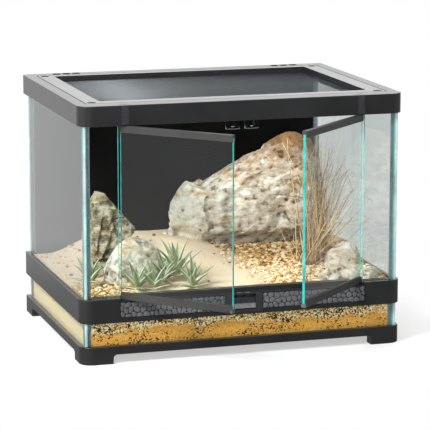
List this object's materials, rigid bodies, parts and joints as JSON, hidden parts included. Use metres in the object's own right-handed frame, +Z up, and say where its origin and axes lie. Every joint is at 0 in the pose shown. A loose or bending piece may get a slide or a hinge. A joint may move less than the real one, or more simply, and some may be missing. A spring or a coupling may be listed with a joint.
{
  "type": "glass terrarium",
  "caption": "Front-opening glass terrarium with hinged doors, sliding latch, screen lid and closable inlets, furnished with sand, rocks and succulents.",
  "frame": {"origin": "on the floor that the feet stand on, under the middle of the box round the whole part with its doors open as pictured, so the cabinet's own middle lies 75 mm behind it", "axes": "+X to the right seen from the doors, +Y to the back, +Z up"},
  "size_m": [0.6, 0.6002, 0.46],
  "materials": {
    "frame_black": "satin",
    "vent_relief": "satin",
    "latch_black": "gloss",
    "tank_glass": "polished",
    "door_rail": "satin",
    "strike_grey": "gloss",
    "clear_clip": "gloss",
    "hinge_steel": "satin",
    "screen_wire": "satin",
    "silicone": "satin",
    "background_black": "matte",
    "sand": "matte",
    "rock_ochre": "matte",
    "rock_pale": "matte",
    "leaf": "satin",
    "dry_stalk": "matte",
    "lock_black": "satin"
  },
  "bodies": {
    "cabinet": {"back_glass": "tank_glass", "background_panel": "background_black", "base_frame": "frame_black", "bottom_glass": "tank_glass", "corner_seals": "silicone", "door_stop_left": "clear_clip", "door_stop_right": "clear_clip", "dry_grass": "dry_stalk", "front_lower_glass": "tank_glass", "front_strip_left": "tank_glass", "front_strip_right": "tank_glass", "large_rock": "rock_ochre", "latch_bezel": "frame_black", "left_glass": "tank_glass", "lower_hinge_pins": "hinge_steel", "mid_belt": "frame_black", "pale_boulder": "rock_pale", "pebbles": "rock_pale", "right_glass": "tank_glass", "right_rock": "rock_pale", "sand_base": "sand", "sand_top": "sand", "slab_rock": "rock_pale", "small_succulent": "leaf", "succulents": "leaf", "top_frame": "frame_black", "vent_panel_left": "vent_relief", "vent_panel_right": "vent_relief"},
    "left_door": {"left_door_glass": "tank_glass", "left_door_top_rail": "door_rail", "left_door_bottom_rail": "door_rail", "left_door_strike": "strike_grey"},
    "right_door": {"right_door_glass": "tank_glass", "right_door_top_rail": "door_rail", "right_door_bottom_rail": "door_rail", "right_door_strike": "strike_grey"},
    "latch": {"latch_slider": "latch_black"},
    "release_left": {"hinge_release_left": "frame_black", "hinge_pin_left": "hinge_steel"},
    "release_right": {"hinge_release_right": "frame_black", "hinge_pin_right": "hinge_steel"},
    "lid": {"lid_frame": "frame_black", "screen_mesh": "screen_wire"},
    "lock_front_left": {"lid_lock_front_left": "lock_black"},
    "lock_front_right": {"lid_lock_front_right": "lock_black"},
    "lock_rear_left": {"lid_lock_rear_left": "lock_black"},
    "lock_rear_right": {"lid_lock_rear_right": "lock_black"},
    "shutter_left_1": {"inlet_shutter_left_1": "lock_black"},
    "shutter_left_2": {"inlet_shutter_left_2": "lock_black"},
    "shutter_left_3": {"inlet_shutter_left_3": "lock_black"},
    "shutter_right_1": {"inlet_shutter_right_1": "lock_black"},
    "shutter_right_2": {"inlet_shutter_right_2": "lock_black"},
    "shutter_right_3": {"inlet_shutter_right_3": "lock_black"}
  },
  "joints": [
    {"name": "left_door_hinge", "type": "hinge", "parent": "cabinet", "child": "left_door", "pos_m": [-0.218, -0.14089, 0.268], "axis": [0, 0, -1], "range_deg": [-46, 64]},
    {"name": "right_door_hinge", "type": "hinge", "parent": "cabinet", "child": "right_door", "pos_m": [0.218, -0.14089, 0.268], "axis": [0, 0, 1], "range_deg": [-43.9, 66.1]},
    {"name": "latch_slide", "type": "slide", "parent": "cabinet", "child": "latch", "axis": [0, 0, 1], "range_m": [0, 0.004]},
    {"name": "release_left_slide", "type": "slide", "parent": "cabinet", "child": "release_left", "axis": [0, 0, 1], "range_m": [0, 0.006]},
    {"name": "release_right_slide", "type": "slide", "parent": "cabinet", "child": "release_right", "axis": [0, 0, 1], "range_m": [0, 0.006]},
    {"name": "lid_lift", "type": "slide", "parent": "cabinet", "child": "lid", "axis": [0, 0, 1], "range_m": [0, 0.12]},
    {"name": "lock_front_left_turn", "type": "hinge", "parent": "lid", "child": "lock_front_left", "pos_m": [-0.266, -0.10189, 0.458], "axis": [0, 0, 1], "range_deg": [0, 90]},
    {"name": "lock_front_right_turn", "type": "hinge", "parent": "lid", "child": "lock_front_right", "pos_m": [0.266, -0.10189, 0.458], "axis": [0, 0, -1], "range_deg": [0, 90]},
    {"name": "lock_rear_left_turn", "type": "hinge", "parent": "lid", "child": "lock_rear_left", "pos_m": [-0.266, 0.25911, 0.458], "axis": [0, 0, -1], "range_deg": [0, 90]},
    {"name": "lock_rear_right_turn", "type": "hinge", "parent": "lid", "child": "lock_rear_right", "pos_m": [0.266, 0.25911, 0.458], "axis": [0, 0, 1], "range_deg": [0, 90]},
    {"name": "shutter_left_1_slide", "type": "slide", "parent": "cabinet", "child": "shutter_left_1", "axis": [0, 1, 0], "range_m": [0, 0.008]},
    {"name": "shutter_left_2_slide", "type": "slide", "parent": "cabinet", "child": "shutter_left_2", "axis": [0, 1, 0], "range_m": [0, 0.008]},
    {"name": "shutter_left_3_slide", "type": "slide", "parent": "cabinet", "child": "shutter_left_3", "axis": [0, 1, 0], "range_m": [0, 0.008]},
    {"name": "shutter_right_1_slide", "type": "slide", "parent": "cabinet", "child": "shutter_right_1", "axis": [0, 1, 0], "range_m": [0, 0.008]},
    {"name": "shutter_right_2_slide", "type": "slide", "parent": "cabinet", "child": "shutter_right_2", "axis": [0, 1, 0], "range_m": [0, 0.008]},
    {"name": "shutter_right_3_slide", "type": "slide", "parent": "cabinet", "child": "shutter_right_3", "axis": [0, 1, 0], "range_m": [0, 0.008]}
  ]
}
